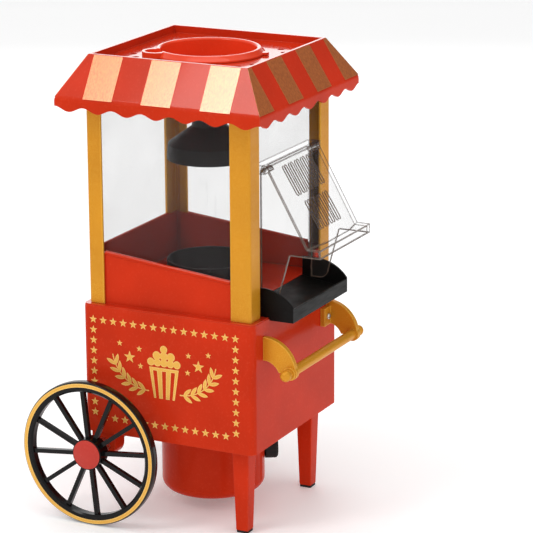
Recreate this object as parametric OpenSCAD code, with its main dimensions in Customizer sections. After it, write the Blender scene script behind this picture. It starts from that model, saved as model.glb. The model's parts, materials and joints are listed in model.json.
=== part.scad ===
// Cart-style hot-air popcorn maker.
// Millimetres, +Z up, front (door and handle) towards -Y.
// Origin: centre of the footprint, on the surface the machine stands on.

/* [Base casing] */
// Width and depth of the square casing
base_w = 173; // [170:1:176]
// Height of the casing's lower edge above the floor
base_bottom = 81; // [79:1:83]
// Height of the casing's top above the floor
base_top = 202; // [200:1:204]
// Thickness of the moulded walls
wall = 2.5; // [2:0.1:3]
// Radius of the casing's upright corners
corner_r = 6; // [4:0.5:8]
// Radius of the motor drum below the casing
drum_r = 48; // [46:0.2:49]
// Height of the drum's bottom above the floor
drum_bottom = 13; // [12:1:16]

/* [Cabinet] */
// Outer width across the four corner posts
post_span = 163; // [160:1:165]
// Height of the posts' upper ends
post_top = 412; // [408:1:414]
// Thickness of the clear panes
pane_t = 1.8; // [1.5:0.1:2]
// Height of the red side panels at the rear
deck_rear_z = 251; // [247:1:254]
// Height of the red side panels at the front
deck_front_z = 234.5; // [232:0.5:238]

/* [Roof] */
// Height of the roof's upper rim
roof_top = 430; // [425:1:435]
// Width across the upper rim
rim_w = 157; // [155:1:159]
// Width across the eaves
eave_w = 203; // [200:1:206]
// Drop from the rim to the eaves
roof_drop = 37; // [35:0.5:38]
// Scallops along each side
lobes = 7; // [5:2:9]
// Depth of the valance at the notches
notch_depth = 7.5; // [7:0.1:9]
// Depth of the valance at the lobes
lobe_depth = 12; // [11:0.1:14]
// Depth of the tray inside the rim
tray_depth = 7; // [6:0.5:8]
// Inner radius of the measuring cup
cup_r = 43; // [41:0.5:43]

/* [Wheels] */
// Outer radius of the cart wheels
wheel_r = 68; // [66:1:70]
// Distance of the axle behind the middle
axle_y = 69.5; // [68:0.5:71]
// Gap between the casing and the wheel's outer face
wheel_reach = 26.5; // [24:0.5:28]
// Spokes in each wheel
spokes = 12; // [8:1:14]
// Radius of the axle
axle_r = 4; // [3.5:0.1:4.5]

/* [Handle] */
// Distance of the bar's axis in front of the casing
bar_reach = 26.5; // [25:0.5:30]
// Height of the bar's axis
bar_z = 157; // [155:1:159]
// Radius of the bar
bar_r = 4.5; // [4:0.1:5]

/* [Door] */
// Height of the hinge pins
hinge_z = 335; // [333:1:337]
// Height of the hood's shelf
shelf_z = 268; // [266:1:270]
// Distance of the shelf's lip in front of the casing
shelf_reach = 49; // [47:1:51]
// Half width of the hood
hood_half = 52.5; // [50:0.5:53]

/* [Hidden] */
$fn = 64;

red = [0.80, 0.12, 0.08];
gold = [0.80, 0.58, 0.14];
foil = [0.86, 0.70, 0.40];
black = [0.07, 0.07, 0.07];
clear = [0.85, 0.88, 0.90, 0.35];
steel = [0.72, 0.73, 0.75];

fit = 0.05;
gap = 0.3;
half = base_w / 2;
post_half = post_span / 2;
post_t = 2.5;
pane_out = post_half - post_t - 2.9;
pane_in = pane_out - pane_t;
eave_z = roof_top - roof_drop;
eave_half = eave_w / 2;
rim_half = rim_w / 2;
slope_run = eave_half - rim_half;
slope_angle = atan2(slope_run, roof_drop);
slope_len = sqrt(slope_run * slope_run + roof_drop * roof_drop);
lobe_pitch = eave_w / lobes;
tray_z = roof_top - tray_depth;
well_r = cup_r + 2;
well_z = 398;
chute_half = 57;
chute_front = half + 24.5;
chute_rear = 66;
chute_top = base_top + 26.5;
deck_floor = base_top + 7;
chamber_r = 38;
wheel_x = half + wheel_reach;
rim_r = wheel_r - 1.4;
hinge_y = -post_half + 0.6;
switch_x = 45;
switch_z = 124;
rocker_axis_y = half - 1.5;
screw_head_r = 3;
hub_proud = 1.5;
bracket_in = 63;
bracket_t = 5;
pan_screw_spots = [for (x = [-40, 40], s = [-1, 1]) [x, s * (half - 10.5)]];

// ---- shared shapes ----

// Rectangle with round corners, in the plane
module round_rect(w, d, r) {
    square([w - 2 * r, d], center = true);
    square([w, d - 2 * r], center = true);
    for (x = [-1, 1], y = [-1, 1])
        translate([x * (w / 2 - r), y * (d / 2 - r)]) circle(r);
}

// Puts a flat outline drawn in (y, z) at x0, t thick towards +X
module in_side_plane(x0, t) {
    translate([x0, 0, 0]) rotate([90, 0, 90]) linear_extrude(t) children();
}

// Puts a shape turned about Z on the X axis, axis towards +X
module along_x() {
    rotate([0, 90, 0]) children();
}

// Pan-head screw pointing down, the head's underside at the origin
module screw(shank_r, shank_len) {
    difference() {
        rotate_extrude() {
            polygon([[0, 0], [screw_head_r, 0], [screw_head_r, 1], [screw_head_r - 1, 1.9], [0, 2.1]]);
        }
        for (a = [0, 90]) rotate(a) translate([0, 0, 1.9]) cube([3.4, 0.8, 1.6], center = true);
    }
    translate([0, 0, -shank_len]) cylinder(h = shank_len, r = shank_r);
}

// ---- base ----

module base_housing() color(red) {
    lip = 1.2;
    difference() {
        union() {
            translate([0, 0, base_bottom]) linear_extrude(base_top - base_bottom - lip)
                round_rect(base_w, base_w, corner_r);
            translate([0, 0, base_top - lip]) linear_extrude(lip)
                round_rect(base_w - 1.2, base_w - 1.2, corner_r - 0.6);
        }
        translate([0, 0, base_bottom - 1]) linear_extrude(base_top - base_bottom - wall + 1)
            round_rect(base_w - 2 * wall, base_w - 2 * wall, corner_r - wall);
        translate([0, 0, base_top - wall - 1]) cylinder(h = wall + 2, r = chamber_r + 3);
        translate([switch_x, half, switch_z]) cube([14, 20, 21], center = true);
        for (s = [-1, 1]) translate([s * foot_screw_x, -half, foot_screw_z]) rotate([90, 0, 0])
            cylinder(h = 8, r = 1.5, center = true);
    }
    for (p = pan_screw_spots) pan_screw_post(p);
}

// Post inside the casing that a pan screw threads into, ribbed to the nearest wall
module pan_screw_post(p) {
    post_h = 16;
    translate([p[0], p[1], base_bottom + 2 + wall]) difference() {
        union() {
            cylinder(h = post_h, r = 4);
            translate([-1.25, p[1] > 0 ? 0 : -(half - wall + 0.5 + p[1]), 0])
                cube([2.5, half - wall + 0.5 - abs(p[1]), post_h]);
        }
        cylinder(h = post_h - 3, r = 1.6);
    }
}

module bottom_pan() color(red) {
    pan_w = base_w - 2 * wall - 2 * gap;
    difference() {
        union() {
            translate([0, 0, base_bottom + 2]) linear_extrude(wall)
                round_rect(pan_w, pan_w, corner_r - wall);
            translate([0, 0, base_bottom - 3]) cylinder(h = 6, r = drum_r + 8);
        }
        translate([0, 0, base_bottom - 4]) cylinder(h = 12, r = drum_r + gap);
        for (p = pan_screw_spots) translate([p[0], p[1], base_bottom]) cylinder(h = 6, r = 1.8);
        for (i = [-3:3], s = [-1, 1])
            translate([s * 66, i * 8, base_bottom + 3]) cube([12, 3, 8], center = true);
    }
}

module pan_screws() color(steel)
    for (p = pan_screw_spots) translate([p[0], p[1], base_bottom + 2]) rotate([180, 0, 0]) screw(1.6, 8);

module drum_housing() color(red) {
    r_in = drum_r - 2.2;
    round_r = 10;
    difference() {
        rotate_extrude() {
            difference() {
                union() {
                    translate([0, drum_bottom]) square([drum_r - round_r, 12]);
                    translate([drum_r - round_r, drum_bottom + round_r]) circle(round_r);
                    translate([0, drum_bottom + round_r])
                        square([drum_r, base_bottom + 4.5 - drum_bottom - round_r]);
                    translate([0, base_bottom + 4.5]) square([drum_r + 6, 2]);
                }
                translate([0, drum_bottom + round_r]) square([r_in, 100]);
                translate([0, drum_bottom + 2.2]) square([r_in - round_r + 2.2, 20]);
                translate([drum_r - round_r, drum_bottom + round_r]) circle(round_r - 2.2);
                translate([-50, 0]) square([50, 200]);
            }
        }
        for (a = [0:15:359]) rotate(a) translate([22, 0, drum_bottom]) cube([18, 2.6, 8], center = true);
        cord_gland_axis() cylinder(h = 60, r = 6.2);
    }
}

// Frame of the cord's way out: Z points out of the drum
module cord_gland_axis() rotate(-58) translate([0, 0, 48]) rotate([0, 90, 0]) children();

module cord_gland() color(black) cord_gland_axis() difference() {
    union() {
        rotate_extrude() {
            difference() {
                union() {
                    translate([0, drum_r + 0.4]) square([10.5, 9]);
                    translate([0, drum_r + 9.4]) square([7.5, 3]);
                    translate([7.5, drum_r + 9.4]) circle(3);
                }
                translate([-20, 0]) square([20, 100]);
            }
        }
        translate([0, 0, drum_r - 8]) cylinder(h = 9, r = 6);
    }
    translate([0, 0, drum_r - 10]) cylinder(h = 30, r = 3.6);
}

// ---- hot-air works ----

module popping_chamber() color(steel) difference() {
    union() {
        translate([0, 0, 99]) cylinder(h = base_top - 99, r = chamber_r + 1);
        translate([0, 0, base_top]) cylinder(h = 1.2, r = chamber_r + 8);
    }
    translate([0, 0, 100.2]) cylinder(h = 120, r = chamber_r);
    for (a = [0:20:359]) rotate(a) translate([chamber_r + 0.5, 0, 107]) rotate([30, 0, 0])
        cube([6, 1.6, 9], center = true);
}

module chamber_collar() color(black) difference() {
    union() {
        translate([0, 0, base_top + 1.2]) cylinder(h = 2, r = chamber_r + 3.8);
        translate([0, 0, base_top + 1.2]) cylinder(h = 30, r = chamber_r + 2.5);
    }
    translate([0, 0, base_top]) cylinder(h = 40, r = chamber_r + 0.5);
}

module heater_duct() color(steel) difference() {
    translate([0, 0, 73]) cylinder(h = 26, r = chamber_r - 1);
    translate([0, 0, 72]) cylinder(h = 28, r = chamber_r - 2);
}

module heater_former() color([0.80, 0.74, 0.62])
    for (a = [0, 90]) rotate(a) difference() {
        translate([a == 0 ? -35 : 0.5, -0.5, 75]) cube([a == 0 ? 70 : 34.5, 1, 22]);
        for (i = [0:4], s = [-1, 1]) translate([s * 26, 0, 78 + i * 4])
            cube([3, 4, 2.4], center = true);
    }

module heater_coil() color([0.55, 0.50, 0.48])
    for (i = [0:4]) translate([0, 0, 78 + i * 4]) rotate_extrude() translate([26, 0]) circle(0.9);

module fan_motor() color(steel) difference() {
    union() {
        translate([0, 0, 24]) cylinder(h = 26, r = 18);
        translate([0, 0, 50]) cylinder(h = 3, r = 6);
        translate([0, 0, 21]) cylinder(h = 3, r = 5);
    }
    translate([0, 0, 30]) cylinder(h = 30, r = 1.5 + fit);
}

module motor_bracket() color(steel) difference() {
    union() {
        translate([0, 0, 53]) cylinder(h = 2, r = 15);
        for (a = [0:120:359]) rotate(a) translate([10, -5, 53]) cube([32, 10, 2]);
        for (a = [0:120:359]) rotate(a) translate([18.2, -5, 30]) cube([2, 10, 23]);
    }
    translate([0, 0, 50]) cylinder(h = 8, r = 7);
}

module motor_shaft() color([0.6, 0.6, 0.62]) translate([0, 0, 32]) cylinder(h = 40, r = 1.5);

module fan_impeller() color([0.2, 0.2, 0.22]) difference() {
    union() {
        translate([0, 0, 58]) cylinder(h = 1.6, r = 33);
        translate([0, 0, 58]) cylinder(h = 11, r = 6);
        for (a = [0:30:359]) rotate(a) translate([10, -0.7, 59]) rotate([0, 0, 12]) cube([21, 1.4, 9]);
    }
    translate([0, 0, 57]) cylinder(h = 20, r = 1.5);
}

module thermostat() color([0.85, 0.85, 0.8]) translate([0, chamber_r + 1.2, 130]) rotate([-90, 0, 0]) {
    cylinder(h = 4, r = 8);
    translate([0, 0, 4]) cylinder(h = 5, r = 6);
    for (s = [-1, 1]) translate([s * 3.5 - 0.4, -2, 9]) cube([0.8, 4, 6]);
}

module thermal_fuse() color(steel) translate([0, -chamber_r - 4, 140]) rotate([0, 90, 0]) {
    translate([0, 0, -6]) cylinder(h = 12, r = 2);
    translate([0, 0, -14]) cylinder(h = 28, r = 0.5);
}

module terminal_block() color([0.88, 0.88, 0.84]) translate([-73, 46, base_bottom + 4.5]) difference() {
    cube([18, 24, 10]);
    for (i = [0:2]) translate([9, 4 + i * 8, 4]) cylinder(h = 7, r = 2);
}

// ---- cabinet ----

// Outline of a side panel of the deck, in (y, z)
module deck_side_outline() {
    polygon([[-post_half + 3, base_top], [post_half - 3, base_top],
             [post_half - 3, deck_rear_z], [-post_half + 3, deck_front_z]]);
}

module hopper_deck() color(red) {
    out = post_half - post_t - gap;
    t = 2.2;
    lip_x = out - 0.3;
    lip_from = -post_half + 21;
    lip_to = post_half - 16;
    lip_angle = atan2(deck_rear_z - deck_front_z, 2 * (post_half - 3));
    difference() {
        union() {
            for (s = [-1, 1]) intersection() {
                in_side_plane(s * out - (s > 0 ? t : 0), t) deck_side_outline();
                cube([400, 2 * out, 600], center = true);
            }
            translate([-out, out - t, base_top]) cube([2 * out, t, deck_rear_z - base_top]);
            translate([-out, -out, base_top]) cube([2 * out, t, deck_front_z - base_top]);
            translate([-out, -out, deck_floor]) cube([2 * out, 2 * out, 2.5]);
            for (s = [-1, 1])
                translate([s * lip_x, 0, (deck_rear_z + deck_front_z) / 2]) rotate([lip_angle, 0, 0])
                    translate([0, lip_from, 0]) rotate([-90, 0, 0]) cylinder(h = lip_to - lip_from, r = 2);
            translate([lip_from, lip_x, deck_rear_z]) rotate([0, 90, 0])
                cylinder(h = -2 * lip_from, r = 2);
        }
        translate([0, 0, deck_floor - 1]) cylinder(h = 5, r = chamber_r + 3);
        translate([-chute_half - gap, -out - 1, base_top - 1])
            cube([2 * chute_half + 2 * gap, out + 1 + gap - chute_rear, 60]);
    }
}

// One L-shaped post. sx, sy: its corner; arm_x, arm_y: lengths of its two faces
module corner_post(sx, sy, arm_x, arm_y) color(gold) intersection() {
    translate([0, 0, base_top]) linear_extrude(post_top - base_top) difference() {
        round_rect(post_span, post_span, 2.5);
        round_rect(post_span - 2 * post_t, post_span - 2 * post_t, 0.8);
    }
    union() {
        translate([sx * post_half, sy * post_half, 300]) cube([2 * arm_x, 12, 400], center = true);
        translate([sx * post_half, sy * post_half, 300]) cube([12, 2 * arm_y, 400], center = true);
    }
}

module post_front_left() corner_post(-1, -1, 19, 20);

module post_front_right() corner_post(1, -1, 19, 20);

module post_rear_left() corner_post(-1, 1, 19, 15);

module post_rear_right() corner_post(1, 1, 19, 15);

module upper_frame() color(red) {
    out = 2 * (post_half - post_t - gap);
    translate([0, 0, post_top - 7]) linear_extrude(7) difference() {
        square([out, out], center = true);
        square([out - 22, out - 22], center = true);
    }
}

pane_low = deck_floor + 2.5;
pane_high = post_top - 7;

// One side window; s is -1 for the left and 1 for the right
module side_window(s) color(clear)
    translate([s * (pane_out - pane_t / 2), 0, (pane_low + pane_high) / 2])
        cube([pane_t, 2 * pane_in - 2, pane_high - pane_low], center = true);

module window_left() side_window(-1);

module window_right() side_window(1);

module window_rear() color(clear)
    translate([-pane_out, pane_in, pane_low]) cube([2 * pane_out, pane_t, pane_high - pane_low]);

module front_pane() color(clear) {
    ear_in = hood_half + 1.5;
    ear_t = 3;
    difference() {
        union() {
            translate([-pane_out, -pane_in - 1, pane_low])
                cube([2 * pane_out, 1.6, pane_high - pane_low]);
            for (s = [-1, 1]) translate([s * (ear_in + ear_t / 2), -pane_in - 5, hinge_z + 0.5])
                cube([ear_t, 9, 8], center = true);
        }
        translate([-hood_half + 1, -100, pane_low - 1])
            cube([2 * hood_half - 2, 60, hinge_z + 6 - pane_low]);
        translate([-chute_half - gap, -100, pane_low - 1])
            cube([2 * chute_half + 2 * gap, 60, chute_top + 1.5 - pane_low]);
        translate([-100, hinge_y, hinge_z]) along_x() cylinder(h = 200, r = 1.5);
    }
}

// ---- serving door and chute ----

hood_rear = -post_half + 4.6;
hood_top = hinge_z + 3.5;
hood_front_top = -post_half - 3;
hood_front_low = -half - 42;
hood_side_low = -half - 36.5;

// Convex hood: k is how far its skin lies inside the outer one
module hood_body(k) {
    face_top = 40;
    face_low = 25;
    hull() {
        translate([0, 0, hood_top - k]) linear_extrude(0.01)
            polygon([[-hood_half + k, hood_rear - 2 + 3 * k], [hood_half - k, hood_rear - 2 + 3 * k],
                     [hood_half - k, hood_front_top + 1 + k], [face_top - k / 2, hood_front_top + k],
                     [-face_top + k / 2, hood_front_top + k], [-hood_half + k, hood_front_top + 1 + k]]);
        translate([-hood_half + k, hood_rear - 1 + k, hinge_z - 2])
            cube([2 * hood_half - 2 * k, 1, 0.01]);
        translate([0, 0, shelf_z - k]) linear_extrude(0.01)
            polygon([[-hood_half + k, hood_rear + k], [hood_half - k, hood_rear + k],
                     [hood_half - k, hood_side_low + k], [face_low - k / 2, hood_front_low + 1.2 * k],
                     [-face_low + k / 2, hood_front_low + 1.2 * k], [-hood_half + k, hood_side_low + k]]);
    }
}

// Slot through the hood's front: x across, from and to along the slope below the hinge edge
module vent_slot(x, from, to) {
    r = 2.2;
    slope = atan2(hood_front_top - hood_front_low, hood_top - shelf_z);
    translate([x, hood_front_top, hood_top]) rotate([-slope, 0, 0]) rotate([90, 0, 0])
        translate([0, 0, -6]) linear_extrude(12) {
            translate([-r, -to + r]) square([2 * r, to - from - 2 * r]);
            translate([0, -from - r]) circle(r);
            translate([0, -to + r]) circle(r);
        }
}

module serving_door() color(clear) {
    t = 1.8;
    skirt = 8.5;
    front = -half - shelf_reach;
    difference() {
        union() {
            difference() {
                union() {
                    hood_body(0);
                    translate([-hood_half, front, shelf_z - t]) cube([2 * hood_half, 30, t]);
                }
                hood_body(t);
                for (i = [-2:2]) vent_slot(i * 12, 5.5, 34.5);
                for (i = [-1.5:1.5]) vent_slot(i * 12, 42, 70);
            }
            translate([-hood_half, front, shelf_z - skirt]) cube([2 * hood_half, t, skirt]);
            for (s = [-1, 1]) {
                translate([s > 0 ? hood_half - t : -hood_half, front, shelf_z - skirt])
                    cube([t, hood_rear - front, skirt]);
                in_side_plane(s > 0 ? hood_half - t : -hood_half, t) wing_outline();
                translate([s > 0 ? hood_half - 12 : -hood_half, hinge_y, hinge_z]) along_x()
                    cylinder(h = 12, r = 3.3);
            }
        }
        translate([-100, hinge_y, hinge_z]) along_x() cylinder(h = 200, r = 1.5 + fit);
    }
}

// Lower cheek of the door, in (y, z), which swings inside the chute
module wing_outline() {
    low = base_top + 9.5;
    round_r = 9;
    polygon([[hood_rear, low], [-half + 1, low], [-half + 1 - round_r, low + round_r],
             [-half - 21, shelf_z - 1], [hood_rear, shelf_z - 1]]);
    translate([-half + 1, low + round_r]) circle(round_r);
}

module door_hinge_pins() color(steel)
    for (s = [-1, 1]) translate([s > 0 ? hood_half - 12 : -hood_half - 4.6, hinge_y, hinge_z]) along_x()
        cylinder(h = 16.6, r = 1.5);

module serving_chute() color(black) {
    t = 2;
    low = base_top - 2.5;
    front_h = 12.5;
    floor_rear = base_top + 9;
    floor_front = base_top + 2;
    for (s = [-1, 1]) in_side_plane(s > 0 ? chute_half - t : -chute_half, t) chute_cheek(low);
    in_side_plane(-chute_half + t, 2 * (chute_half - t))
        polygon([[-chute_rear, floor_rear], [-chute_front + t, floor_front],
                 [-chute_front + t, floor_front - t], [-chute_rear, floor_rear - t]]);
    translate([-chute_half + t, -chute_front, low]) cube([2 * (chute_half - t), t, front_h]);
    translate([-chute_half + t, -chute_front + t, low])
        cube([2 * (chute_half - t), chute_front - t - half - 1, t]);
}

// Side cheek of the chute, in (y, z): its upper front corner is one large round
module chute_cheek(low) {
    round_y = -half + 6.5;
    round_z = base_top - 12.5;
    difference() {
        union() {
            translate([round_y, base_top]) square([-chute_rear - round_y, chute_top - base_top]);
            intersection() {
                translate([round_y, round_z]) circle(chute_top - round_z, $fn = 96);
                translate([-chute_front, low]) square([round_y + chute_front, 60]);
            }
        }
        translate([-half - 1, low - 1]) square([40, base_top - low + 1]);
    }
}

// ---- roof ----

// Solid of the roof's slopes, shrunk by k on every side
module roof_block(z_low, z_high, k) {
    run = slope_run / roof_drop;
    low_half = eave_half - (z_low - eave_z) * run - k;
    high_half = eave_half - (z_high - eave_z) * run - k;
    translate([0, 0, z_low]) linear_extrude(z_high - z_low, scale = high_half / low_half)
        square([2 * low_half, 2 * low_half], center = true);
}

// Scalloped strip, in (along, up), its upper edge at 0: one even wave with a lobe at each corner's end
module scallops() {
    steps = 14 * lobes;
    mid = (lobe_depth + notch_depth) / 2;
    swing = (lobe_depth - notch_depth) / 2;
    wave = [for (i = [0:steps]) let(x = -eave_half + i * eave_w / steps)
        [x, -mid - swing * cos(360 * x / lobe_pitch)]];
    polygon(concat(wave, [[eave_half, 0], [-eave_half, 0]]));
}

screw_spots = [for (sx = [-1, 1], sy = [-1, 1], p = [[43, 51], [31, 60]]) [sx * p[0], sy * p[1]]];
screw_sink = 6;

module roof_shell() color(red) {
    difference() {
        union() {
            difference() {
                roof_block(eave_z, roof_top, 0);
                roof_block(eave_z - 0.01, tray_z - wall, 2.9);
            }
            for (a = [0:90:270]) rotate(a) translate([0, -eave_half + wall, eave_z]) rotate([90, 0, 0])
                linear_extrude(wall) scallops();
            translate([0, 0, well_z - 2]) cylinder(h = tray_z - well_z + 2, r = well_r + 2);
            for (p = screw_spots)
                translate([p[0], p[1], tray_z - screw_sink - 6]) cylinder(h = screw_sink + 5, r = 4.6);
        }
        translate([-rim_half + wall, -rim_half + wall, tray_z])
            cube([rim_w - 2 * wall, rim_w - 2 * wall, 20]);
        translate([0, 0, well_z]) cylinder(h = 60, r = well_r);
        translate([0, 0, well_z - 5]) cylinder(h = 20, r = 14);
        kettle_screw_places() translate([0, 0, -3.6]) cylinder(h = 3.6, r = 1.4);
        for (p = screw_spots) {
            translate([p[0], p[1], tray_z - screw_sink - 7]) cylinder(h = 20, r = 1.3);
            translate([p[0], p[1], tray_z - screw_sink]) cylinder(h = 20, r = screw_head_r + 0.2);
        }
    }
}

module roof_screws() color(steel)
    for (p = screw_spots) translate([p[0], p[1], tray_z - screw_sink]) screw(1.3, 5.5);

// Foil outline on one slope, in (along, up the slope), from x0 to x1, cut at the hips
module stripe_outline(x0, x1) {
    margin = 0.7;
    hip = slope_run / slope_len;
    intersection() {
        translate([x0, margin]) square([x1 - x0, slope_len - 2 * margin]);
        polygon([[-eave_half, 0], [eave_half, 0], [eave_half - hip * slope_len, slope_len],
                 [-eave_half + hip * slope_len, slope_len]]);
    }
}

// Lays flat foil shapes on the slope over the side that faces a
module on_slope(a) {
    rotate(a) translate([0, -eave_half, eave_z]) rotate([90 - slope_angle, 0, 0])
        linear_extrude(0.25) children();
}

module roof_stripes() color(foil) {
    p = lobe_pitch;
    for (a = [90, 270]) for (i = [-1:1]) on_slope(a) stripe_outline((2 * i - 0.5) * p, (2 * i + 0.5) * p);
    for (a = [0, 180]) for (i = [-2, -1, 1, 2])
        on_slope(a) stripe_outline((2 * i - sign(i) - 0.5) * p, (2 * i - sign(i) + 0.5) * p);
}

module kettle() color(black) difference() {
    neck = 16;
    neck_z = 357;
    bell = 39;
    bell_top = 341;
    bell_low = 327;
    t = 2;
    rotate_extrude() polygon([
        [neck - t, well_z - 2], [24, well_z - 2], [24, well_z - 4], [neck, well_z - 4], [neck, neck_z],
        [bell - 1, bell_top], [bell, bell_low], [bell - t, bell_low], [bell - 1 - t, bell_top - 1],
        [neck - t, neck_z - 1]]);
    kettle_screw_places() translate([0, 0, -3.6]) cylinder(h = 5, r = 1.4);
}

// The three screws that hold the kettle's flange under the roof's well, each pointing up
module kettle_screw_places()
    for (a = [0:120:359]) rotate(a) translate([20, 0, well_z - 4]) rotate([180, 0, 0]) children();

module kettle_screws() color(steel) kettle_screw_places() screw(1.4, 3.5);

module measuring_cup() color(red) {
    ring_out = cup_r + 7.5;
    ring_top = roof_top - 1;
    seat = tray_z + gap;
    bowl_low = well_z + 4;
    lobe_x = ring_out - 1.5;
    lobe_angle = 134;
    round_r = 2.4;
    crown = [for (a = [20:20:160])
        [cup_r + round_r + round_r * cos(a), ring_top - round_r + round_r * sin(a)]];
    difference() {
        union() {
            rotate_extrude($fn = 96) polygon(concat(
                [[0, bowl_low], [cup_r + 1.6, bowl_low], [cup_r + 1.6, seat], [ring_out, seat],
                 [ring_out, seat + 1.4]],
                crown,
                [[cup_r, ring_top - round_r], [cup_r, bowl_low + 2], [0, bowl_low + 2]]));
            rotate(lobe_angle) difference() {
                translate([lobe_x, 0, seat]) cylinder(h = ring_top - seat - 0.6, r = 12.5);
                translate([0, 0, seat - 1]) cylinder(h = 10, r = cup_r + 1.5);
            }
            for (a = [75, 285]) rotate(a) translate([ring_out + 1, 0, seat]) cylinder(h = 2.4, r = 3.5);
        }
        rotate(lobe_angle) translate([lobe_x + 1, 0, seat + 1.8]) cylinder(h = 20, r = 9);
    }
}

// ---- handle ----

foot_screw_x = bracket_in - 4.5;
foot_screw_z = bar_z + 16;
bar_half = bracket_in + bracket_t + 1.7;

module handle_bar() color(gold)
    translate([-bar_half, -half - bar_reach, bar_z]) along_x() cylinder(h = 2 * bar_half, r = bar_r);

// Bracket: a quarter ring from the casing to the bar
module handle_bracket(s) color(gold) {
    foot_w = 12;
    foot_t = 4.5;
    arc_y = -half - 1;
    difference() {
        union() {
            in_side_plane(s > 0 ? bracket_in : -bracket_in - bracket_t, bracket_t) difference() {
                union() {
                    intersection() {
                        translate([arc_y, bar_z - 1]) circle(31, $fn = 96);
                        translate([arc_y - 59, bar_z - 1]) square([60, 60]);
                    }
                    translate([-half - bar_reach, bar_z]) circle(6.6);
                }
                translate([arc_y, bar_z - 7]) circle(15.5);
                translate([arc_y - 15.5, bar_z - 20]) square([18, 13]);
            }
            translate([s > 0 ? bracket_in - foot_w : -bracket_in, -half - foot_t, foot_screw_z - 8.5])
                cube([foot_w, foot_t, 17]);
        }
        translate([-100, -half - bar_reach, bar_z]) along_x() cylinder(h = 200, r = bar_r);
        translate([s * foot_screw_x, -half, foot_screw_z]) rotate([90, 0, 0])
            cylinder(h = 12, r = 1.5, center = true);
    }
}

module handle_bracket_left() handle_bracket(-1);

module handle_bracket_right() handle_bracket(1);

module handle_knobs() color(gold)
    for (s = [-1, 1]) translate([0, -half - bar_reach, bar_z]) rotate([0, s * 90, 0])
        rotate_extrude() difference() {
            union() {
                translate([0, bracket_in + bracket_t]) square([5.8, 2.4]);
                translate([0, bracket_in + bracket_t + 2]) square([3.2, 4]);
                translate([0, 76.4]) circle(5.2);
            }
            translate([0, bracket_in]) square([bar_r, bar_half - bracket_in]);
            translate([-20, 0]) square([20, 120]);
        }

module handle_screws() color(steel)
    for (s = [-1, 1]) translate([s * foot_screw_x, -half - 4.5, foot_screw_z]) rotate([90, 0, 0])
        screw(1.5, 10);

// ---- legs, axle and wheels ----

leg_top_w = 16.5;
leg_low_w = 12;
leg_inset = 12.3 + leg_top_w / 2;
pad_t = 2;

// Tapered front leg with a screwed foot plate against the casing
module front_leg(s) color(red)
    translate([s * (half - leg_inset), -half + leg_inset, base_bottom + 2]) rotate([180, 0, 0])
        linear_extrude(base_bottom + 2 - pad_t, scale = leg_low_w / leg_top_w)
            square([leg_top_w, leg_top_w], center = true);

module leg_front_left() front_leg(-1);

module leg_front_right() front_leg(1);

module leg_pads() color(black)
    for (s = [-1, 1]) translate([s * (half - leg_inset), -half + leg_inset, 0])
        linear_extrude(pad_t) round_rect(leg_low_w - 0.4, leg_low_w - 0.4, 1.5);

// Short rear leg that carries the axle
module axle_bracket(s) color(red) difference() {
    in_side_plane(s > 0 ? half - 21 : -half + 3, 18) {
        translate([axle_y, wheel_r]) circle(12);
        translate([axle_y - 12, wheel_r]) square([24, base_bottom + 2 - wheel_r]);
    }
    translate([-100, axle_y, wheel_r]) along_x() cylinder(h = 200, r = axle_r);
}

module axle_bracket_left() axle_bracket(-1);

module axle_bracket_right() axle_bracket(1);

module axle() color(steel)
    translate([-wheel_x + 2, axle_y, wheel_r]) along_x() cylinder(h = 2 * wheel_x - 4, r = axle_r);

// A spacer inside and a spring clip outside each wheel
module axle_clips() color(steel)
    for (s = [-1, 1]) translate([0, axle_y, wheel_r]) rotate([0, s * 90, 0]) difference() {
        union() {
            translate([0, 0, half - 2.5]) cylinder(h = wheel_reach - 12 + 2.5 - gap, r = 7);
            translate([0, 0, wheel_x - 4 + gap]) cylinder(h = 1.2, r = 6.5);
        }
        cylinder(h = 150, r = axle_r);
    }

rim_in = wheel_r - 9.6;
spoke_phase = 6;

// Frame of one wheel: Z runs outwards along the axle
module wheel_frame(s) translate([0, axle_y, wheel_r]) rotate([0, s * 90, 0]) children();

module spoked_wheel(s) color(black) wheel_frame(s) difference() {
    union() {
        rotate_extrude($fn = 128) {
            polygon([[rim_in, wheel_x - 8], [rim_in + 1.5, wheel_x - 9.5], [rim_r, wheel_x - 9.5],
                     [rim_r, wheel_x], [rim_in + 1.5, wheel_x], [rim_in, wheel_x - 1.5]]);
        }
        translate([0, 0, wheel_x - 12]) cylinder(h = 12 + hub_proud, r = 14.6);
        for (i = [0:spokes - 1]) rotate(spoke_phase + i * 360 / spokes) translate([12, -2, wheel_x - 7.2])
            cube([rim_in - 11, 4, 4.4]);
    }
    translate([0, 0, wheel_x - 20]) cylinder(h = 30, r = axle_r + fit);
    translate([0, 0, wheel_x - 4]) cylinder(h = 10, r = 9);
}

module wheel_left() spoked_wheel(-1);

module wheel_right() spoked_wheel(1);

module tyre(s) color([0.05, 0.05, 0.05]) wheel_frame(s) rotate_extrude($fn = 128)
    polygon([[rim_r, wheel_x - 9.5], [wheel_r - 1, wheel_x - 9.5], [wheel_r - 0.3, wheel_x - 8.4],
             [wheel_r, wheel_x - 6.5], [wheel_r, wheel_x - 3], [wheel_r - 0.3, wheel_x - 1.1],
             [wheel_r - 1, wheel_x], [rim_r, wheel_x]]);

module tyre_left() tyre(-1);

module tyre_right() tyre(1);

module wheel_stripe(s) color(gold) wheel_frame(s) translate([0, 0, wheel_x]) difference() {
    cylinder(h = 0.3, r = rim_r - 0.1, $fn = 128);
    translate([0, 0, -1]) cylinder(h = 3, r = rim_r - 3.5, $fn = 128);
}

module wheel_stripe_left() wheel_stripe(-1);

module wheel_stripe_right() wheel_stripe(1);

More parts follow.
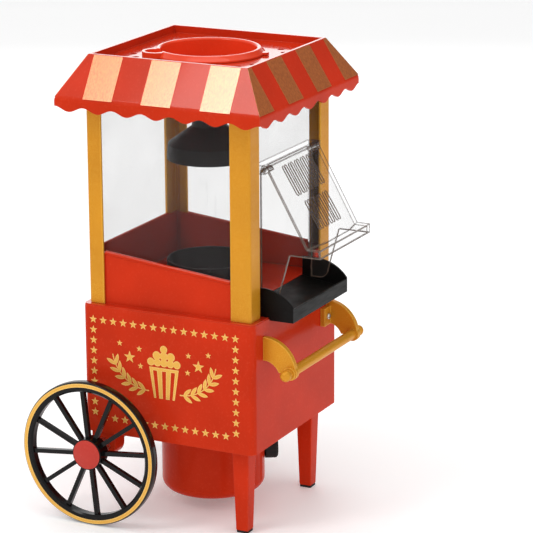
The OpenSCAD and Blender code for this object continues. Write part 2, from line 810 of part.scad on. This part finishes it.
module hub_cap(s) color(red) wheel_frame(s) rotate_extrude() {
    cap_r = 13.6;
    dome_r = 48;
    face = wheel_x + hub_proud;
    translate([0, face - 2.4]) square([8.8, 2.4]);
    translate([0, face]) square([cap_r, 0.8]);
    intersection() {
        translate([0, face + 2.5 - dome_r]) circle(dome_r, $fn = 160);
        translate([0, face + 0.4]) square([cap_r - 0.4, 10]);
    }
}

module hub_cap_left() hub_cap(-1);

module hub_cap_right() hub_cap(1);

// ---- switch ----

module switch_bezel() color(black) translate([switch_x, 0, switch_z]) difference() {
    union() {
        translate([-8.5, half, -12]) cube([17, 1.8, 24]);
        translate([-6.8, half - 14, -10.3]) cube([13.6, 14, 20.6]);
    }
    translate([-5.3, half - 12, -9]) cube([10.6, 30, 18]);
    translate([-7, rocker_axis_y, 0]) along_x() cylinder(h = 14, r = 1.5);
}

module switch_rocker() color([0.75, 0.10, 0.08])
    translate([switch_x, rocker_axis_y, switch_z]) rotate([-8, 0, 0]) difference() {
        translate([-5, 0, 0]) rotate([90, 0, 90]) linear_extrude(10) intersection() {
            circle(8.7);
            polygon([[-3, -9], [-3, 9], [5.4, 9], [4, 0], [5.4, -9]]);
        }
        translate([-10, 0, 0]) along_x() cylinder(h = 20, r = 1.5 + fit);
    }

module rocker_pin() color(steel)
    translate([switch_x - 6.8, rocker_axis_y, switch_z]) along_x() cylinder(h = 13.6, r = 1.5);

// ---- decals on the casing's sides ----

star_r = 4;
top_star_z = base_top - 14;
low_star_z = base_bottom + 19;
rear_star_y = half - 11;
front_star_y = -half + 17.8;

// Five-pointed star, in the plane
module star(r) {
    polygon([for (i = [0:9]) let(q = i % 2 == 0 ? r : r * 0.4) [q * sin(i * 36), q * cos(i * 36)]]);
}

// Star border, in (y, z)
module star_border() {
    step = (rear_star_y - front_star_y) / 14;
    rise = (top_star_z - low_star_z) / 9;
    for (i = [0:14]) translate([front_star_y + i * step, top_star_z]) star(star_r);
    for (i = [1:13]) translate([front_star_y + i * step, low_star_z - 4]) star(star_r);
    for (i = [1:9], y = [front_star_y, rear_star_y]) translate([y, top_star_z - i * rise]) star(star_r);
}

// Full popcorn tub between two sprigs with stars, in (y, z) about its middle
module emblem() {
    tub_top = 15;
    tub_low = 10.5;
    difference() {
        polygon([[-tub_low, -27], [tub_low, -27], [tub_top, 2], [-tub_top, 2]]);
        for (i = [-1:1]) polygon([[i * 6.6 - 1.5, -29], [i * 6.6 + 1.5, -29],
                                  [i * 9.2 + 2.1, -1], [i * 9.2 - 2.1, -1]]);
    }
    for (i = [-2:2]) translate([i * 6.6, 6.8]) circle(3.7);
    for (i = [-1:1]) translate([i * 7.2, 13.2]) circle(4);
    translate([0, 19.6]) circle(3.6);
    for (s = [0, 1]) mirror([s, 0]) {
        sprig();
        translate([35, 8]) star(6);
        translate([24, 1]) star(3);
        translate([25, 17]) star(3);
        translate([45, 20]) star(3);
    }
}

// Leafy sprig that curves from under the tub up to the right
module sprig() {
    stem_r = 36;
    translate([17, 15]) {
        intersection() {
            difference() {
                circle(stem_r + 0.5, $fn = 128);
                circle(stem_r - 0.5, $fn = 128);
            }
            rotate(-92) square([60, 60]);
            rotate(-100) square([60, 60]);
        }
        for (a = [-86:12:-20], side = [-1, 1]) rotate(a) translate([stem_r, 0]) rotate(90 + side * 38)
            translate([5.2, 0]) leaf();
    }
}

// Pointed leaf, 11 mm long, along the first axis
module leaf() intersection() {
    translate([0, 7.4]) circle(9.2);
    translate([0, -7.4]) circle(9.2);
}

module side_decals() color(gold)
    for (s = [-1, 1]) in_side_plane(s > 0 ? half : -half - 0.25, 0.25) {
        star_border();
        translate([3.5, 149]) emblem();
    }

base_housing();
bottom_pan();
pan_screws();
drum_housing();
cord_gland();
popping_chamber();
chamber_collar();
heater_duct();
heater_former();
heater_coil();
fan_motor();
motor_bracket();
motor_shaft();
fan_impeller();
thermostat();
thermal_fuse();
terminal_block();
hopper_deck();
post_front_left();
post_front_right();
post_rear_left();
post_rear_right();
upper_frame();
window_left();
window_right();
window_rear();
front_pane();
serving_door();
door_hinge_pins();
serving_chute();
roof_shell();
roof_stripes();
roof_screws();
kettle();
kettle_screws();
measuring_cup();
handle_bar();
handle_bracket_left();
handle_bracket_right();
handle_knobs();
handle_screws();
leg_front_left();
leg_front_right();
axle_bracket_left();
axle_bracket_right();
leg_pads();
axle();
axle_clips();
wheel_left();
wheel_right();
tyre_left();
tyre_right();
wheel_stripe_left();
wheel_stripe_right();
hub_cap_left();
hub_cap_right();
switch_bezel();
switch_rocker();
rocker_pin();
side_decals();
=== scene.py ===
"""Looks of the cart-style popcorn maker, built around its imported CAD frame.

Everything is in metres and in the CAD's own frame: +Z up, the serving door towards -Y.
"""

import json
import math

import bmesh
import bpy
from mathutils import Matrix, Vector


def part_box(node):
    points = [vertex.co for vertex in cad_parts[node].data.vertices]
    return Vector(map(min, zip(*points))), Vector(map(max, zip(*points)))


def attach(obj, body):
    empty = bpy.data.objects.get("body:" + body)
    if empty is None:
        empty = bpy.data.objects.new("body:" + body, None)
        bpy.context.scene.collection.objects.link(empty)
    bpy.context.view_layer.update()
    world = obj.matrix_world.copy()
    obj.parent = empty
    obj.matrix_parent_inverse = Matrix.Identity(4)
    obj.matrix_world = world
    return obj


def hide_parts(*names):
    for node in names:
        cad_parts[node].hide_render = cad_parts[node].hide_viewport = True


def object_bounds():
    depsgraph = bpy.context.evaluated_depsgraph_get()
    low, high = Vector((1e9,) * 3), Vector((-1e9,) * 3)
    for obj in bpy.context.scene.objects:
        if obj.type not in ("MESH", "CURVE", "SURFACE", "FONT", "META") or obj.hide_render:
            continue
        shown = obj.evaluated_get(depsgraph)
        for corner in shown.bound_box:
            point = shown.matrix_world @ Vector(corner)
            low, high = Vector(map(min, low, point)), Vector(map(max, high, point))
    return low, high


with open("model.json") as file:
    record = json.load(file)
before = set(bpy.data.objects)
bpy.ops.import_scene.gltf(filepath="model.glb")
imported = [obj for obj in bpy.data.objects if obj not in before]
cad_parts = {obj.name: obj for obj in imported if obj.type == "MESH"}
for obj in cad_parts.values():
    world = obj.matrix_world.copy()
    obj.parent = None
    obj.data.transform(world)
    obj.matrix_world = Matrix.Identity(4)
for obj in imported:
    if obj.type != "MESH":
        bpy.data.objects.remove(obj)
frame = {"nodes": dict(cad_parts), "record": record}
cad_low, cad_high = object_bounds()
NODES = frame["nodes"]
RECORD = frame["record"]
BODY_OF = {n: b for b, names in RECORD["behaviour"]["bodies"].items() for n in names}
SLOT_OF = {row["node"]: row["material_slot"] for row in RECORD["subparts"]}
MM = 0.001
WHITE = (1, 1, 1)


# ---------------------------------------------------------------- camera

CAMERA_AZIMUTH = -63.50  # degrees; 0 faces the front, negative turns to the left side
CAMERA_ELEVATION = 15.56
CAMERA_ROLL = -0.325
CAMERA_DISTANCE = 2.437
CAMERA_LENS = 179.2  # millimetres, as is the sensor's width
CAMERA_SENSOR = 36
CAMERA_REACH = 50
CAMERA_AIM = Vector((0, 0, 0.2007))
CAMERA_RIGHT = 0.0505  # how far the camera steps aside from its line to the aim
CAMERA_UP = 0.0229


def make_camera():
    az = math.radians(CAMERA_AZIMUTH)
    el = math.radians(CAMERA_ELEVATION)
    level = math.cos(el)
    back = Vector((math.sin(az) * level, -math.cos(az) * level, math.sin(el)))
    right = (-back).cross(Vector((0, 0, 1))).normalized()
    up = right.cross(-back)
    data = bpy.data.cameras.new("camera")
    data.lens = CAMERA_LENS
    data.sensor_width = CAMERA_SENSOR
    data.clip_end = CAMERA_REACH
    camera = bpy.data.objects.new("camera", data)
    bpy.context.scene.collection.objects.link(camera)
    roll = math.radians(CAMERA_ROLL)
    rolled_right = math.cos(roll) * right + math.sin(roll) * up
    rolled_up = -math.sin(roll) * right + math.cos(roll) * up
    camera.rotation_mode = "QUATERNION"
    camera.rotation_quaternion = basis_rotation(rolled_right, rolled_up, back)
    camera.location = (CAMERA_AIM + back * CAMERA_DISTANCE
                       + rolled_right * CAMERA_RIGHT + rolled_up * CAMERA_UP)
    bpy.context.scene.camera = camera


def basis_rotation(x, y, z):
    """Rotation whose columns are three unit vectors."""
    return Matrix((x, y, z)).transposed().to_quaternion()


# ---------------------------------------------------------------- material graph helpers

class Graph:
    """A material's node tree with short calls for the nodes used here."""

    def __init__(self, name):
        self.material = bpy.data.materials.new(name)
        self.material.use_nodes = True
        self.tree = self.material.node_tree
        self.bsdf = self.tree.nodes["Principled BSDF"]
        self.coords = self.tree.nodes.new("ShaderNodeTexCoord").outputs["Object"]

    def node(self, kind, inputs=(), **settings):
        n = self.tree.nodes.new(kind)
        for key, value in settings.items():
            setattr(n, key, value)
        for key, value in dict(inputs).items():
            self.plug(value, n.inputs[key])
        return n

    def plug(self, value, socket):
        if isinstance(value, bpy.types.NodeSocket):
            self.tree.links.new(value, socket)
        else:
            socket.default_value = value

    def set(self, **values):
        """Sets the shader's sockets: base_color=..., roughness=..."""
        for key, value in values.items():
            socket = key.replace("_", " ").title().replace("Ior", "IOR")
            self.plug(value, self.bsdf.inputs[socket])

    def noise(self, scale, detail=3.0, stretch=None):
        """Cloudy noise from 0 to 1, finer with scale and drawn out where stretch is small."""
        vector = self.coords
        if stretch:
            mapping = self.node("ShaderNodeMapping", {"Vector": vector, "Scale": stretch})
            vector = mapping.outputs[0]
        inputs = {"Vector": vector, "Scale": scale, "Detail": detail}
        return self.node("ShaderNodeTexNoise", inputs).outputs["Fac"]

    def cells(self, scale):
        """Distance to the nearest of many scattered points."""
        inputs = {"Vector": self.coords, "Scale": scale}
        return self.node("ShaderNodeTexVoronoi", inputs).outputs["Distance"]

    def remap(self, value, low, high, to_low, to_high):
        """Carries the range low to high over to another range, and holds it there."""
        n = self.node("ShaderNodeMapRange", {"Value": value, "From Min": low, "From Max": high,
                                             "To Min": to_low, "To Max": to_high})
        n.clamp = True
        return n.outputs[0]

    def times(self, a, b):
        return self.math("MULTIPLY", a, b)

    def plus(self, a, b):
        return self.math("ADD", a, b)

    def math(self, operation, a, b):
        n = self.node("ShaderNodeMath", operation=operation)
        self.plug(a, n.inputs[0])
        self.plug(b, n.inputs[1])
        return n.outputs[0]

    def mix(self, factor, a, b):
        n = self.node("ShaderNodeMix", data_type="RGBA")
        self.plug(factor, n.inputs[0])
        self.plug(a, n.inputs[6])
        self.plug(b, n.inputs[7])
        return n.outputs[2]

    def edges(self, radius, samples=4, mild=0.985, full=0.80):
        """1 along sharp edges within radius, 0 on flat faces.

        mild and full are the cosines of the bends where it starts and where it is whole.
        """
        bevel = self.node("ShaderNodeBevel", {"Radius": radius}, samples=samples).outputs[0]
        normal = self.node("ShaderNodeNewGeometry").outputs["True Normal"]
        dot = self.node("ShaderNodeVectorMath", operation="DOT_PRODUCT")
        self.plug(bevel, dot.inputs[0])
        self.plug(normal, dot.inputs[1])
        return self.remap(dot.outputs["Value"], mild, full, 0.0, 1.0)

    def bump(self, height, strength, distance):
        inputs = {"Height": height, "Strength": strength, "Distance": distance}
        return self.node("ShaderNodeBump", inputs).outputs[0]


def rgb(r, g, b):
    return (r, g, b, 1.0)


def scaled(colour, factor):
    """A colour made darker or paler by a factor, as a socket takes it."""
    return rgb(*[min(1, c * factor) for c in colour])


# ---------------------------------------------------------------- materials

def plastic(name, colour, worn, rough, grain_scale, grain_depth, coat=0.0, top_coat=None,
            specular=0.5, sheen_tint=WHITE):
    """Moulded plastic: faint cloudiness in its colour, uneven gloss, skin grain, paler worn edges.

    coat is the gloss of upright faces and top_coat that of level ones.
    """
    g = Graph(name)
    cloud = g.remap(g.noise(14, 4), 0.35, 0.65, 0.0, 1.0)
    speck = g.remap(g.noise(420, 2), 0.56, 0.72, 0.0, 0.10)
    base = g.mix(speck, g.mix(cloud, scaled(colour, 0.90), scaled(colour, 1.08)), rgb(*worn))
    edge_wear_and_highlight = g.times(g.edges(0.9 * MM), g.remap(g.noise(90, 4), 0.35, 0.75, 0.15, 0.6))
    scuff = g.remap(g.noise(60, 5, stretch=(1, 1, 7)), 0.3, 0.75, rough * 0.8, rough * 1.35)
    if top_coat is not None:
        facing = g.node("ShaderNodeSeparateXYZ")
        g.plug(g.node("ShaderNodeNewGeometry").outputs["Normal"], facing.inputs[0])
        coat = g.remap(facing.outputs["Z"], 0.15, 1.0, coat, top_coat)
    g.set(base_color=g.mix(edge_wear_and_highlight, base, rgb(*worn)), roughness=g.plus(scuff, g.times(edge_wear_and_highlight, 0.15)),
          coat_weight=coat, coat_roughness=0.08, specular_ior_level=specular,
          specular_tint=rgb(*sheen_tint), normal=g.bump(g.noise(grain_scale, 2), 0.35, grain_depth))
    return g.material


def metallic_paint(name, colour, bright, dark, rough, metallic):
    """Gold metallic paint: fine flakes, clouds, and a painted highlight of the bright colour along
    its edges.
    """
    g = Graph(name)
    cloud = g.remap(g.noise(11, 4), 0.3, 0.7, 0, 1)
    flake = g.cells(2600)
    base = g.mix(cloud, rgb(*dark), rgb(*colour))
    base = g.mix(g.remap(flake, 0.0, 0.6, 0.45, 0.0), base, rgb(*bright))
    # painted highlight: the bright colour laid along the edges, standing in for the light line that
    # the rounded corners catch
    edge_wear_and_highlight = g.times(g.edges(1.6 * MM), g.remap(g.noise(70, 3), 0.3, 0.7, 0.6, 1.0))
    uneven = g.remap(g.noise(55, 4, stretch=(1, 1, 3)), 0.3, 0.7, rough * 0.85, rough * 1.25)
    g.set(base_color=g.mix(edge_wear_and_highlight, base, rgb(*bright)), metallic=metallic, specular_ior_level=0.2,
          roughness=uneven, normal=g.bump(flake, 0.10, 0.05 * MM))
    return g.material


def foil(name, colour, dark, edge, rough):
    """Hot-stamped foil: fine grain along it, small pits, a slight rumple, coloured edges."""
    g = Graph(name)
    grain = g.remap(g.noise(700, 2, stretch=(1, 1, 0.06)), 0.3, 0.7, 0.0, 1.0)
    pits = g.noise(1300, 2)
    base = g.mix(grain, rgb(*dark), rgb(*colour))
    base = g.mix(g.remap(pits, 0.62, 0.75, 0.0, 0.5), base, rgb(*dark))
    base = g.mix(g.times(g.edges(0.7 * MM), 0.8), base, rgb(*edge))
    rumple = g.plus(g.noise(45, 3), g.times(pits, 0.12))
    g.set(base_color=base, metallic=0.55, coat_weight=1.0, coat_roughness=0.20, coat_ior=1.9,
          roughness=g.remap(pits, 0.3, 0.7, rough * 0.85, rough * 1.2),
          normal=g.bump(rumple, 0.12, 0.6 * MM))
    return g.material


def clear_plastic(name, tint, edge_tint, veil, shine, edge_width, edge_strength):
    """Clear moulded sheet: nearly see-through on its faces, brown-grey where an edge is seen along.

    veil is how much a face hides, shine how much more it hides at a glance.
    """
    g = Graph(name)
    rim = g.edges(edge_width, 8, 0.995, 0.93)
    facing = g.node("ShaderNodeLayerWeight", {"Blend": 0.35}).outputs["Facing"]
    glance = g.math("POWER", facing, 2.2)
    haze = g.remap(g.noise(22, 4), 0.35, 0.7, veil * 0.85, veil * 1.15)
    scratch = g.remap(g.noise(260, 2, stretch=(1, 1, 0.08)), 0.66, 0.74, 0.0, 0.03)
    cover = g.plus(haze, g.times(glance, shine))
    cover = g.plus(cover, g.times(rim, edge_strength))
    g.set(base_color=g.mix(rim, rgb(*tint), rgb(*edge_tint)), alpha=g.plus(cover, scratch),
          roughness=g.remap(g.noise(35, 3), 0.3, 0.7, 0.03, 0.09), specular_ior_level=0.5,
          normal=g.bump(g.noise(18, 2), 0.05, 0.4 * MM))
    return g.material


def metal(name, colour, rough, stretch, spots=0.0):
    """Drawn or brushed metal: streaks along one way, cloudy oxide, bright worn edges."""
    g = Graph(name)
    streak = g.noise(500, 3, stretch=stretch)
    oxide = g.remap(g.noise(40, 5), 0.45, 0.75, 0.0, 0.35 + spots)
    base = g.mix(oxide, rgb(*colour), scaled(colour, 0.62))
    edge_wear_and_highlight = g.times(g.edges(0.6 * MM), 0.6)
    g.set(base_color=g.mix(edge_wear_and_highlight, base, scaled(colour, 1.25)), metallic=1.0,
          roughness=g.remap(streak, 0.3, 0.7, rough * 0.7, rough * 1.4),
          normal=g.bump(streak, 0.15, 0.06 * MM))
    return g.material


def mica_sheet(name, dark, pale):
    """Pressed mica: overlapping flakes."""
    g = Graph(name)
    flakes = g.cells(240)
    g.set(base_color=g.mix(g.remap(flakes, 0.0, 0.5, 0.0, 1.0), rgb(*dark), rgb(*pale)),
          roughness=g.remap(g.noise(90), 0.3, 0.7, 0.35, 0.65),
          normal=g.bump(flakes, 0.3, 0.2 * MM))
    return g.material


RED_WORN = (0.80, 0.13, 0.07)
BLACK = (0.004, 0.0035, 0.0035)
BLACK_WORN = (0.03, 0.03, 0.03)
RED_SKIN = dict(worn=RED_WORN, rough=0.17, grain_scale=520, grain_depth=0.07 * MM, coat=0.0,
                top_coat=1.0, specular=0.06, sheen_tint=(1.0, 0.8, 0.55))

FINISHES = {
    "red_plastic": (plastic, dict(colour=(0.56, 0.030, 0.008), **RED_SKIN)),
    # painted light: a paler copy of the red plastic, lifting the shade inside the measuring cup
    "red_cup": (plastic, dict(colour=(0.76, 0.055, 0.016), **RED_SKIN)),
    "red_matte": (plastic, dict(colour=(0.48, 0.030, 0.018), worn=(0.70, 0.14, 0.09), rough=0.42,
                                grain_scale=900, grain_depth=0.10 * MM, specular=0.3)),
    "rocker_red": (plastic, dict(colour=(0.50, 0.018, 0.010), worn=(0.8, 0.15, 0.1), rough=0.16,
                                 grain_scale=700, grain_depth=0.03 * MM, coat=0.4)),
    # The bright colour of each gold finish is its flakes and a painted highlight along its edges.
    "gold_trim": (metallic_paint, dict(colour=(0.68, 0.27, 0.008), bright=(1.0, 0.68, 0.12),
                                       dark=(0.54, 0.20, 0.006), rough=0.40, metallic=0.30)),
    "gold_print": (metallic_paint, dict(colour=(0.80, 0.42, 0.06), bright=(1.0, 0.74, 0.30),
                                        dark=(0.70, 0.34, 0.045), rough=0.36, metallic=0.40)),
    "gold_foil": (foil, dict(colour=(0.80, 0.215, 0.03), dark=(0.60, 0.13, 0.012),
                             edge=(0.80, 0.30, 0.10), rough=0.34)),
    "black_satin": (plastic, dict(colour=(0.004, 0.0035, 0.003), worn=BLACK_WORN, rough=0.40,
                                  grain_scale=1500, grain_depth=0.08 * MM, specular=0.12)),
    "black_gloss": (plastic, dict(colour=BLACK, worn=BLACK_WORN, rough=0.16, grain_scale=500,
                                  grain_depth=0.04 * MM, coat=0.12, specular=0.12)),
    "tyre_rubber": (plastic, dict(colour=BLACK, worn=BLACK_WORN, rough=0.20, grain_scale=1100,
                                  grain_depth=0.05 * MM, coat=0.35, specular=0.15)),
    "soft_rubber": (plastic, dict(colour=(0.012, 0.012, 0.012), worn=(0.06, 0.06, 0.06), rough=0.6,
                                  grain_scale=1600, grain_depth=0.12 * MM, specular=0.25)),
    "clear_plastic": (clear_plastic, dict(tint=(0.10, 0.09, 0.09), edge_tint=(0.16, 0.11, 0.085),
                                          veil=0.085, shine=0.14, edge_width=1.2 * MM,
                                          edge_strength=0.60)),
    "clear_door": (clear_plastic, dict(tint=(0.16, 0.14, 0.13), edge_tint=(0.115, 0.075, 0.055),
                                       veil=0.045, shine=0.12, edge_width=2.2 * MM,
                                       edge_strength=0.92)),
    "plated_steel": (metal, dict(colour=(0.60, 0.59, 0.57), rough=0.26, stretch=(1, 1, 12))),
    "motor_steel": (metal, dict(colour=(0.48, 0.48, 0.50), rough=0.34, stretch=(1, 1, 16))),
    "pressed_aluminium": (metal, dict(colour=(0.74, 0.74, 0.75), rough=0.28, stretch=(1, 1, 20),
                                      spots=0.1)),
    "nichrome": (metal, dict(colour=(0.36, 0.31, 0.28), rough=0.40, stretch=(6, 6, 6), spots=0.3)),
    "mica": (mica_sheet, dict(dark=(0.42, 0.33, 0.20), pale=(0.66, 0.56, 0.40))),
    "white_plastic": (plastic, dict(colour=(0.72, 0.70, 0.64), worn=(0.85, 0.84, 0.80), rough=0.42,
                                    grain_scale=900, grain_depth=0.06 * MM)),
}

MATERIALS = {name: make(name, **look) for name, (make, look) in FINISHES.items()}

# Nodes whose finish isn't the one that their material slot names
# The measuring cup takes the paler red copy, painted light against the shade in the cup.
FINISH_OF = {"serving_door": "clear_door", "measuring_cup": "red_cup"}


def paint(obj, node):
    """Gives an object the finish of a CAD node, in every material slot."""
    material = MATERIALS[FINISH_OF.get(node, SLOT_OF[node])]
    if not obj.material_slots:
        obj.data.materials.append(material)
    for s in obj.material_slots:
        s.material = material


# ---------------------------------------------------------------- mesh helpers

WELD = 2e-6  # CAD vertices closer than this are one
SLIVER = 1e-6  # shorter edges than this are left out
FLAT_ANGLE = 0.6  # degrees; neighbouring faces that bend less are joined
ROUNDED_ANGLE = 28  # degrees; edges that bend more are rounded
SHARP_ANGLE = 32  # degrees; edges that bend more are shaded sharp


def mesh_object(name, bm):
    mesh = bpy.data.meshes.new(name)
    bm.to_mesh(mesh)
    bm.free()
    obj = bpy.data.objects.new(name, mesh)
    bpy.context.scene.collection.objects.link(obj)
    return obj


def smooth(obj):
    """Smooth shading with flat faces kept flat and sharp edges kept sharp."""
    obj.data.shade_smooth()
    obj.data.set_sharp_from_angle(angle=math.radians(SHARP_ANGLE))
    obj.modifiers.new("weighted", "WEIGHTED_NORMAL").keep_sharp = True


def cleaned(mesh):
    """A CAD mesh with doubled vertices, flat seams and slivers taken out."""
    bm = bmesh.new()
    bm.from_mesh(mesh)
    bmesh.ops.remove_doubles(bm, verts=bm.verts, dist=WELD)
    bmesh.ops.dissolve_limit(bm, angle_limit=math.radians(FLAT_ANGLE), verts=bm.verts,
                             edges=bm.edges)
    bmesh.ops.dissolve_degenerate(bm, edges=bm.edges, dist=SLIVER)
    return bm


def refined(node, width_of, segments=2):
    """A cleaned copy of a CAD node with its sharp edges rounded, standing in for it.

    width_of(edge) gives an edge's rounding in millimetres.
    """
    bm = cleaned(NODES[node].data)
    groups = {}
    for edge in bm.edges:
        if len(edge.link_faces) == 2 and edge.calc_face_angle(0) >= math.radians(ROUNDED_ANGLE):
            groups.setdefault(width_of(edge), []).append(edge)
    for width in sorted(groups, reverse=True):
        alive = [edge for edge in groups[width] if edge.is_valid]
        bmesh.ops.bevel(bm, geom=alive, offset=width * MM, segments=segments, profile=0.5,
                        affect="EDGES", clamp_overlap=True)
    bmesh.ops.remove_doubles(bm, verts=bm.verts, dist=SLIVER)
    piece = mesh_object("v_" + node, bm)
    smooth(piece)
    paint(piece, node)
    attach(piece, BODY_OF[node])
    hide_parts(node)


# ---------------------------------------------------------------- pieces

# Rounding of the edges in millimetres, and the nodes that have it
ROUNDED_NODES = {
    0.2: ("axle_clips", "fan_impeller"),
    0.25: ("popping_chamber", "serving_door", "front_pane", "window_left", "window_right",
           "window_rear"),
    0.3: ("handle_bar", "handle_knobs", "axle", "tyre_left", "tyre_right", "hub_cap_left",
          "hub_cap_right"),
    0.4: ("leg_pads",),
    0.5: ("drum_housing", "cord_gland", "upper_frame", "kettle", "chamber_collar",
          "measuring_cup", "switch_bezel", "switch_rocker", "fan_motor"),
    0.6: ("bottom_pan", "hopper_deck", "wheel_left", "wheel_right"),
    0.7: ("serving_chute", "post_front_left", "post_front_right", "post_rear_left",
          "post_rear_right"),
    0.8: ("handle_bracket_left", "handle_bracket_right", "axle_bracket_left",
          "axle_bracket_right"),
    1.0: ("leg_front_left", "leg_front_right"),
    1.2: ("base_housing",),
}
ROUNDING = {node: width for width, nodes in ROUNDED_NODES.items() for node in nodes}

ROOF_DROP = 37 * MM
ROOF_RIM_HALF = 78.5 * MM
ROOF_EAVE_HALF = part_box("roof_shell")[1][0]
ROOF_EAVE_Z = cad_high[2] - ROOF_DROP
ROOF_ROUNDING = 0.9
EAVE_ROUNDING = 3.0
LEVEL_SLACK = 0.2 * MM
EAVE_SLACK = 1.5 * MM


def roof_rounding(edge):
    """The eave bend is rounder than the other edges of the roof."""
    ends = [v.co for v in edge.verts]
    level = all(abs(end.z - ROOF_EAVE_Z) < LEVEL_SLACK for end in ends)
    outside = all(max(abs(end.x), abs(end.y)) > ROOF_EAVE_HALF - EAVE_SLACK for end in ends)
    return EAVE_ROUNDING if level and outside else ROOF_ROUNDING


def make_pieces():
    for node in sorted(NODES):
        if node == "roof_shell":
            refined(node, roof_rounding, segments=3)
        elif node in ROUNDING:
            width = ROUNDING[node]
            refined(node, lambda edge: width)
        else:
            paint(NODES[node], node)


# ---------------------------------------------------------------- stage

FLOOR_HALF = 6.0
FLOOR_GLOW = 0.16
LAMP_DISTANCE = 2.2
OBJECT_MIDDLE = Vector((0, 0, 0.22))


def make_floor():
    bm = bmesh.new()
    bmesh.ops.create_grid(bm, x_segments=1, y_segments=1, size=FLOOR_HALF)
    floor = mesh_object("floor", bm)
    g = Graph("floor")
    g.set(base_color=g.mix(g.noise(2), rgb(0.93, 0.93, 0.93), rgb(0.96, 0.96, 0.96)),
          roughness=0.7, emission_color=rgb(*WHITE), emission_strength=FLOOR_GLOW)
    floor.data.materials.append(g.material)


def area_light(name, place, size, power, aim=OBJECT_MIDDLE):
    data = bpy.data.lights.new(name, "AREA")
    data.shape = "RECTANGLE"
    data.size, data.size_y = size
    data.energy = power
    lamp = bpy.data.objects.new(name, data)
    bpy.context.scene.collection.objects.link(lamp)
    lamp.location = place
    lamp.rotation_mode = "QUATERNION"
    lamp.rotation_quaternion = (Vector(aim) - Vector(place)).to_track_quat("-Z", "Y")


def mirrored(point, normal):
    """Direction in which the camera's line of sight leaves a shiny face at a point."""
    sight = (Vector(point) - bpy.context.scene.camera.location).normalized()
    n = Vector(normal).normalized()
    return sight - 2 * sight.dot(n) * n


# Middle of the roof's slopes, and the outward and upward parts of their normal
SLOPE_HALF = (ROOF_EAVE_HALF + ROOF_RIM_HALF) / 2
SLOPE_Z = cad_high[2] - ROOF_DROP / 2
SLOPE_OUT = ROOF_DROP
SLOPE_UP = ROOF_EAVE_HALF - ROOF_RIM_HALF

WORLD_BRIGHT = 0.82
WORLD_DARK = 0.10
DARK_STARTS = 0.80  # cosine of the angle from the darkest direction
DARK_WHOLE = 0.97


def make_world():
    """White surroundings, darker where the front slope of the roof mirrors them."""
    world = bpy.data.worlds.new("world")
    bpy.context.scene.world = world
    world.use_nodes = True
    tree = world.node_tree
    background = tree.nodes["Background"]
    direction = tree.nodes.new("ShaderNodeTexCoord").outputs["Generated"]
    nearness = tree.nodes.new("ShaderNodeVectorMath")
    nearness.operation = "DOT_PRODUCT"
    tree.links.new(direction, nearness.inputs[0])
    nearness.inputs[1].default_value = mirrored((0, -SLOPE_HALF, SLOPE_Z),
                                                (0, -SLOPE_OUT, SLOPE_UP))
    shade = tree.nodes.new("ShaderNodeMapRange")
    tree.links.new(nearness.outputs["Value"], shade.inputs["Value"])
    shade.inputs["From Min"].default_value = DARK_STARTS
    shade.inputs["From Max"].default_value = DARK_WHOLE
    shade.inputs["To Min"].default_value = WORLD_BRIGHT
    shade.inputs["To Max"].default_value = WORLD_DARK
    tree.links.new(shade.outputs[0], background.inputs["Strength"])
    background.inputs["Color"].default_value = rgb(*WHITE)


GLARE_Y = -0.185  # ahead of the roof, so that only the front part of the slope mirrors the softbox
TRAY_SPOT = Vector((-0.02, -0.02, cad_high[2] - 7 * MM))  # near the middle of the tray


def make_lamps():
    """A softbox mirrored in the left slope, one mirrored in the tray, and two soft fill lamps."""
    glare = Vector((-SLOPE_HALF, GLARE_Y, SLOPE_Z))
    softbox = glare + mirrored(glare, (-SLOPE_OUT, 0, SLOPE_UP)) * LAMP_DISTANCE
    area_light("softbox", softbox, size=(0.55, 0.9), power=10, aim=glare)
    area_light("top", (0, 0, 2.4), size=(1.6, 1.6), power=12)
    back = TRAY_SPOT + mirrored(TRAY_SPOT, (0, 0, 1)) * LAMP_DISTANCE
    area_light("back", back, size=(1.3, 0.9), power=3.5, aim=TRAY_SPOT)
    area_light("front", (-1.0, -2.2, 1.0), size=(1.4, 1.0), power=3)


make_camera()
make_pieces()
make_floor()
make_world()
make_lamps()
scene = bpy.context.scene
scene.view_settings.view_transform = "Standard"
scene.view_settings.look = "None"
